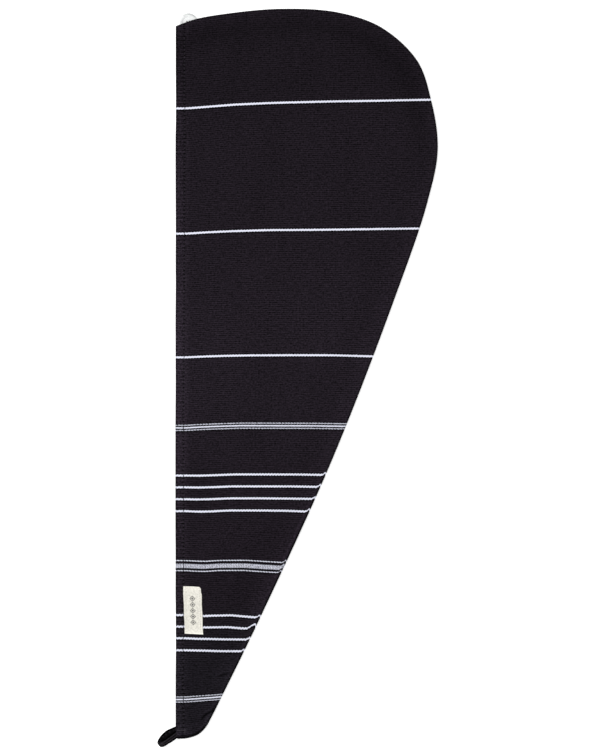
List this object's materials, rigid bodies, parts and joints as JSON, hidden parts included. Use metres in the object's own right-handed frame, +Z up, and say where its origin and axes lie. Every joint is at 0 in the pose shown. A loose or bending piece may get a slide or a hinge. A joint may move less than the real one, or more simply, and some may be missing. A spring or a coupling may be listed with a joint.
{
  "type": "hair towel",
  "caption": "Hair towel turban of striped near-black flat-woven cotton, laid flat, with a hemmed mouth, a sewn cotton label, a round button and a tape loop",
  "frame": {"origin": "middle of the towel's plan, on the surface it lies on", "axes": "+X from the open mouth edge to the slanted seam, +Y from the tip to the crown, +Z up"},
  "size_m": [0.2675, 0.7043, 0.0113],
  "materials": {
    "cotton_cloth": "flat-woven cotton with white weft stripes",
    "label_tape": "plain woven cotton tape",
    "loop_tape": "folded flat-woven cotton strip",
    "pearl_button": "pearly gloss",
    "sewing_thread": "spun thread"
  },
  "bodies": {
    "root": {"back_panel": "cotton_cloth", "front_panel": "cotton_cloth", "label": "label_tape", "button_loop": "loop_tape", "button": "pearl_button", "button_thread": "sewing_thread"}
  },
  "joints": []
}
